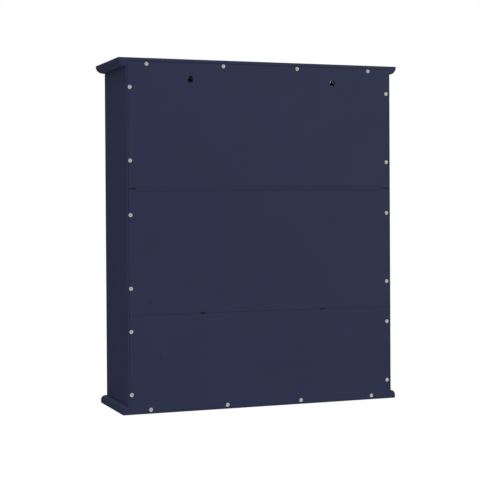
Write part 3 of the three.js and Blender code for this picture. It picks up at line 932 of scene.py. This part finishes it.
class CABINET_OT_add_hinges(Operator):
    """Adds the four butt hinges with their pins and countersunk screws"""

    bl_idname = "cabinet.add_hinges"
    bl_label = "Hinges"

    def execute(self, context):
        sizes = context.scene.cabinet_sizes
        screw = screw_mesh(
            "hinge_screw", head_radius=0.0023, head_height=0.0008, span=0.0026, arm=0.0006, depth=0.0006,
            shank_radius=0.001, length=0.009, sunk=True,
        )
        for label, side in SIDES:
            for place in ("lower", "upper"):
                hinge = f"hinge_{label}_{place}"
                leaves = (("case", "carcass", -side), ("door", f"door_{label}", side))
                for leaf_name, body, facing in leaves:
                    node = f"{hinge}_{leaf_name}_leaf"
                    leaf = node_copy(f"finished_{node}", node)
                    fit(eased(leaf, sizes.metal_arris), body, "hinge_nickel", "satin_nickel", node)
                    self.add_screws(node, body, facing, screw)
                self.add_pin(f"{hinge}_pin")
        return {"FINISHED"}

    def add_screws(self, node, body, facing, screw):
        """Three screws in a leaf, barely proud of its face, the middle one nearer the knuckles."""
        low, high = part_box(node)
        middle = (low + high) / 2
        leaf_gap, proud, leaf_depth = 0.00015, 0.00003, 0.014
        ends_back, middle_back, spacing = 0.0088, 0.0048, 0.0165
        places = ((ends_back, -spacing), (middle_back, 0), (ends_back, spacing))
        face = middle.x - facing * leaf_gap
        turns = random.Random(len(node))
        for i, (back, up) in enumerate(places):
            place = (face + facing * proud, high.y - leaf_depth + back, middle.z + up)
            turn = turns.uniform(0, math.pi / 2)
            finished = (body, "hinge_nickel", "bright_nickel")
            drive(screw, f"{node}_screw_{i + 1}", place, (facing, 0, 0), turn, *finished)

    def add_pin(self, node):
        """A hinge's pin with a small button finial at each end."""
        low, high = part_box(node)
        middle = (low + high) / 2
        half, finial = (high.z - low.z) / 2, (high.x - low.x) / 2
        tip, radius, skirt, bulge, finest_arris = 0.003, 0.0015, 0.0008, 0.7, 0.0001
        button = [
            (finial * math.cos(a) ** bulge, half - tip + skirt + (tip - skirt) * math.sin(a))
            for a in quarter_turn(7)[:-1]
        ]
        upper = [(radius, half - tip), (0.9 * finial, half - tip), *button, (0, half)]
        lower = [(r, -z) for r, z in reversed(upper)]
        pin = turned(f"finished_{node}", [*lower, *upper], segments=32)
        pin.data.transform(Matrix.Translation(middle))
        fit(eased(pin, finest_arris), "carcass", "hinge_nickel", "satin_nickel", node)


# ---- Catch ----


class CABINET_OT_add_catch(Operator):
    """Adds the double magnetic catch under the top board and a strike plate on each door"""

    bl_idname = "cabinet.add_catch"
    bl_label = "Magnetic catch"

    def execute(self, context):
        sizes = context.scene.cabinet_sizes
        low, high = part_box("magnetic_catch")
        middle = (low + high) / 2
        housing = slab("finished_magnetic_catch", low, high)
        past, half_groove, groove_depth = 0.001, 0.0015, 0.002
        pocket_place, half_pocket, pocket_depth, rim = 0.0115, 0.0075, 0.0005, 0.0025
        housing_round = 0.0006
        start, floor, bed = low.y - past, low.y + groove_depth, low.y + pocket_depth
        groove = slab("groove", (-half_groove, start, low.z - past), (half_groove, floor, high.z + past))
        pockets = [
            slab("pocket", (x - half_pocket, start, low.z + rim), (x + half_pocket, bed, high.z - rim))
            for x in (-pocket_place, pocket_place)
        ]
        shaped(housing, [groove, *pockets])
        fit(eased(housing, housing_round), "carcass", "catch_plastic", "white_plastic", "magnetic_catch")
        half_pole, half_thick, pole_place = 0.0068, 0.0012, 0.0025
        face, root = low.y + 0.00005, low.y + 0.0045
        for label, side in SIDES:
            x = side * pocket_place
            for i, z in enumerate((middle.z - pole_place, middle.z + pole_place)):
                corners = (x - half_pole, face, z - half_thick), (x + half_pole, root, z + half_thick)
                pole = slab(f"magnet_pole_{label}_{i + 1}", *corners)
                fit(eased(pole, sizes.metal_arris), "carcass", "catch_plastic", "magnet_steel")
            self.add_strike(label, sizes)
        self.add_screws(middle.y, low.z)
        return {"FINISHED"}

    def add_screws(self, middle, underside):
        """The two screws that hold the housing up, one near each end."""
        screw = screw_mesh(
            "catch_screw", head_radius=0.003, head_height=0.0016, span=0.003, arm=0.0007, depth=0.0009,
            shank_radius=0.0012, length=0.012,
        )
        across, back, clear, turn = 0.0195, 0.003, 0.0001, 0.3
        for label, side in SIDES:
            place = (side * across, middle + back, underside - clear)
            finished = ("carcass", "catch_plastic", "bright_nickel")
            drive(screw, f"catch_screw_{label}", place, (0, 0, -1), turn, *finished)

    def add_strike(self, label, sizes):
        """The round-cornered plate on a door that the magnet holds, and its one screw."""
        node = f"strike_plate_{label}"
        low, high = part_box(node)
        middle = (low + high) / 2
        centre = (middle.x, middle.z)
        outline = rounded_outline(high.x - low.x, high.z - low.z, corner=0.002, steps=6, centre=centre)
        plate = prism(f"finished_{node}", outline, low.y, high.y, "Y")
        fit(eased(plate, sizes.metal_arris), f"door_{label}", "plate_zinc", "zinc", node)
        screw = screw_mesh(
            "strike_screw", head_radius=0.0024, head_height=0.0009, span=0.0026, arm=0.0006, depth=0.0006,
            shank_radius=0.001, length=0.01, sunk=True,
        )
        proud, rise, turn = 0.00004, 0.006, 0.5
        place = (middle.x, high.y + proud, low.z + rise)
        finished = (f"door_{label}", "plate_zinc", "bright_nickel")
        drive(screw, f"strike_screw_{label}", place, (0, 1, 0), turn, *finished)


# ---- Stage ----


class CABINET_OT_add_stage(Operator):
    """Adds the floor, the soft lights and the camera"""

    bl_idname = "cabinet.add_stage"
    bl_label = "Stage"

    def execute(self, context):
        stage = context.scene.cabinet_stage
        low, high = FRAME_BOX
        middle = (low + high) / 2
        self.add_camera(context, stage, middle)
        self.add_floor(low.z - stage.floor_drop, middle)
        self.add_room(context, stage)
        lamps = (
            ("key_softbox", 152, 19, 2.5, 1.6, 15.5),
            ("sheen_card", 222, 12, 3.2, 2.4, 11),
            ("front_softbox", -38, 36, 3.2, 2.0, 60),
            ("front_fill", 48, 55, 3.2, 2.0, 30),
            ("overhead_softbox", 180, 84, 2.6, 1.6, 3),
        )
        for name, azimuth, elevation, distance, size, power in lamps:
            away = self.direction(math.radians(azimuth), math.radians(elevation))
            self.add_softbox(name, middle, away, distance, size, power)
        context.scene.view_settings.view_transform = "Standard"
        return {"FINISHED"}

    def direction(self, azimuth, elevation):
        """The direction towards a place round the cabinet, where azimuth 0 is in front of the doors."""
        level = math.cos(elevation)
        return Vector((math.sin(azimuth) * level, -math.cos(azimuth) * level, math.sin(elevation)))

    def add_camera(self, context, stage, middle):
        back = self.direction(stage.azimuth, stage.elevation)
        camera = bpy.data.objects.new("camera", bpy.data.cameras.new("camera"))
        context.scene.collection.objects.link(camera)
        camera.data.lens = stage.lens
        camera.data.shift_y = stage.shift
        camera.location = middle + Vector(stage.aim) + back * stage.distance
        camera.rotation_mode = "QUATERNION"
        camera.rotation_quaternion = (-back).to_track_quat("-Z", "Y") @ Quaternion((0, 0, 1), stage.roll)
        context.scene.camera = camera

    def add_floor(self, height, middle):
        half, thickness = 2.2, 0.05
        low = (middle.x - half, middle.y - half, height - thickness)
        floor = slab("floor", low, (middle.x + half, middle.y + half, height))
        material, tree, shader = new_material("pale_floor")
        place = add_node(tree, "ShaderNodeTexCoord").outputs["Object"]
        cloud = noise(tree, place, scale=3, detail=3)
        tree.links.new(tint(tree, cloud, (0.78, 0.78, 0.77), (0.82, 0.82, 0.81)), shader.inputs["Base Color"])
        shader.inputs["Roughness"].default_value = 0.7
        floor.data.materials.append(material)

    def add_room(self, context, stage):
        """White to the camera, a softer grey as a light and dim in reflections."""
        world = bpy.data.worlds.new("room")
        world.use_nodes = True
        tree = world.node_tree
        tree.nodes.clear()
        path = add_node(tree, "ShaderNodeLightPath")
        even = add_node(tree, "ShaderNodeBackground", Color=(1, 1, 1, 1), Strength=stage.fill)
        lit = even.outputs["Background"]
        for ray, strength in (("Is Glossy Ray", stage.gleam), ("Is Camera Ray", 1.0)):
            other = add_node(tree, "ShaderNodeBackground", Color=(1, 1, 1, 1), Strength=strength)
            pick = add_node(tree, "ShaderNodeMixShader", [(path.outputs[ray], "Fac")])
            tree.links.new(lit, pick.inputs[1])
            tree.links.new(other.outputs["Background"], pick.inputs[2])
            lit = pick.outputs["Shader"]
        out = add_node(tree, "ShaderNodeOutputWorld")
        tree.links.new(lit, out.inputs["Surface"])
        context.scene.world = world

    def add_softbox(self, name, middle, away, distance, size, power):
        """A round soft lamp. The key one is kept out of reflections, where it would glare on the sides."""
        lamp = bpy.data.lights.new(name, "AREA")
        lamp.shape = "DISK"
        lamp.size = size
        lamp.energy = power
        softbox = bpy.data.objects.new(name, lamp)
        bpy.context.scene.collection.objects.link(softbox)
        softbox.visible_glossy = name != "key_softbox"
        softbox.location = middle + away * distance
        softbox.rotation_mode = "QUATERNION"
        softbox.rotation_quaternion = (-away).to_track_quat("-Z", "Y")


# ---- Panel and registration ----

BUILDERS = (
    CABINET_OT_add_stage,
    CABINET_OT_add_carcass,
    CABINET_OT_add_back,
    CABINET_OT_add_back_screws,
    CABINET_OT_add_hanger,
    CABINET_OT_add_loose_shelf,
    CABINET_OT_add_doors,
    CABINET_OT_add_knobs,
    CABINET_OT_add_hinges,
    CABINET_OT_add_catch,
)


class CABINET_PT_pieces(Panel):
    """Lists the cabinet's pieces"""

    bl_idname = "CABINET_PT_pieces"
    bl_label = "Wall cabinet"
    bl_space_type = "VIEW_3D"
    bl_region_type = "UI"
    bl_category = "Cabinet"

    def draw(self, context):
        for builder in BUILDERS:
            self.layout.operator(builder.bl_idname)


GROUPS = {
    "cabinet_finishes": CabinetFinishes,
    "cabinet_sizes": CabinetSizes,
    "cabinet_stage": CabinetStage,
}


def register():
    for cls in (*GROUPS.values(), *BUILDERS, CABINET_PT_pieces):
        bpy.utils.register_class(cls)
    for name, group in GROUPS.items():
        setattr(bpy.types.Scene, name, PointerProperty(type=group))


def unregister():
    for name in GROUPS:
        delattr(bpy.types.Scene, name)
    for cls in reversed((*GROUPS.values(), *BUILDERS, CABINET_PT_pieces)):
        bpy.utils.unregister_class(cls)


def main():
    register()
    for builder in BUILDERS:
        group, name = builder.bl_idname.split(".")
        getattr(getattr(bpy.ops, group), name)()


if __name__ == "__main__":
    main()
